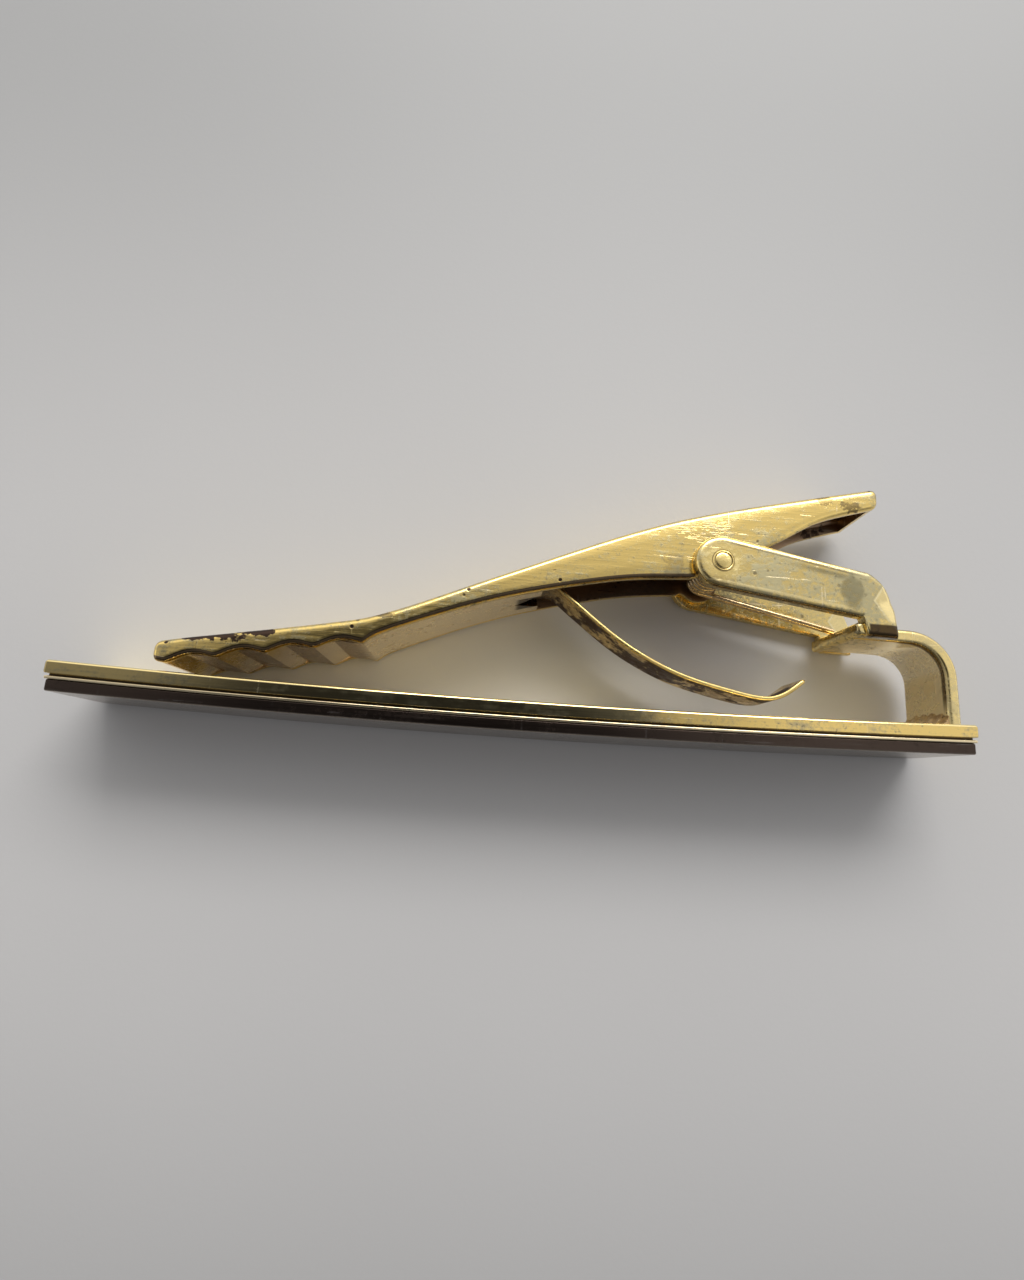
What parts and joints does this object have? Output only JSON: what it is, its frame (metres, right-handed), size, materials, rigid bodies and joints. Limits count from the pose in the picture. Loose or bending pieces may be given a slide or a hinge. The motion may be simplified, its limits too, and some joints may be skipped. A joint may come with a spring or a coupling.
{
  "type": "alligator clip",
  "caption": "Gold-plated sprung alligator clip on a slim bowed bar, with a toothed jaw, a riveted yoke and a curved fabric tongue.",
  "frame": {"origin": "centre of the clip's bounding box in X and Y, at the side it lies on", "axes": "+X along the bar towards the bridge, +Y from the bar towards the jaw, +Z across the clip's width, up as it lies"},
  "size_m": [0.06, 0.0192, 0.007],
  "materials": {
    "bright_gold": "polished gold plate",
    "brushed_gold": "brushed gold plate, mottled",
    "dark_gold": "gold plate in shade, slightly browned",
    "tarnished_gold": "gold plate with brown tarnish",
    "spring_wire": "drawn wire, plated",
    "solder": "gold solder, slightly rough"
  },
  "bodies": {
    "bar": {"back_plate": "bright_gold", "front_panel": "dark_gold", "bridge_yoke": "brushed_gold", "foot_fillet": "solder", "pivot_rivet": "bright_gold", "closing_spring": "spring_wire"},
    "jaw": {"jaw_shell": "brushed_gold", "jaw_sole": "dark_gold"},
    "tongue": {"fabric_tongue": "tarnished_gold"}
  },
  "joints": [
    {"name": "jaw_pivot", "type": "hinge", "parent": "bar", "child": "jaw", "pos_m": [0.01304, 0.00286, 0.0035], "axis": [0, 0, -1], "range_deg": [0, 28], "stiffness_Nm_per_rad": 0.012, "springref_deg": -22.92, "deforming": ["closing_spring"]},
    {"name": "tongue_flex", "type": "hinge", "parent": "jaw", "child": "tongue", "pos_m": [-0.0006, 0.0003, 0.0035], "axis": [0, 0, 1], "range_deg": [0, 8], "stiffness_Nm_per_rad": 0.002, "springref_deg": -5.73}
  ]
}
